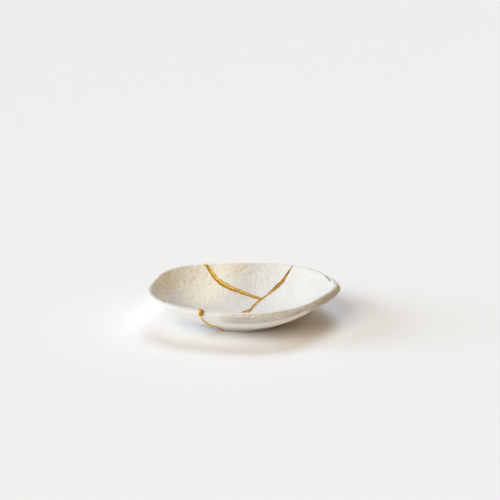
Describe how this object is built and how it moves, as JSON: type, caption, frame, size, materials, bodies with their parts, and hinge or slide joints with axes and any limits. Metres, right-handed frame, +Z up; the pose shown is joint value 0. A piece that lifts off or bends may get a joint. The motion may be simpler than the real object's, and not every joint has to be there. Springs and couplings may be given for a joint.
{
  "type": "kintsugi bowl",
  "caption": "Shallow hand-formed off-white ceramic dish on a low foot, broken and mended with raised gold lacquer seams through the wall.",
  "frame": {"origin": "on the table, under the middle of the dish's own width and depth", "axes": "+Z up; +X to the right and +Y to the back as the dish is seen from the side where one seam runs down the front of the wall"},
  "size_m": [0.1496, 0.1514, 0.0308],
  "materials": {
    "clay": "matte, unglazed and finely pitted",
    "gold_lacquer": "satin gold, brushed on by hand"
  },
  "bodies": {
    "root": {"left_shard": "clay", "back_shard": "clay", "right_shard": "clay", "gold_seam": "gold_lacquer"}
  },
  "joints": []
}
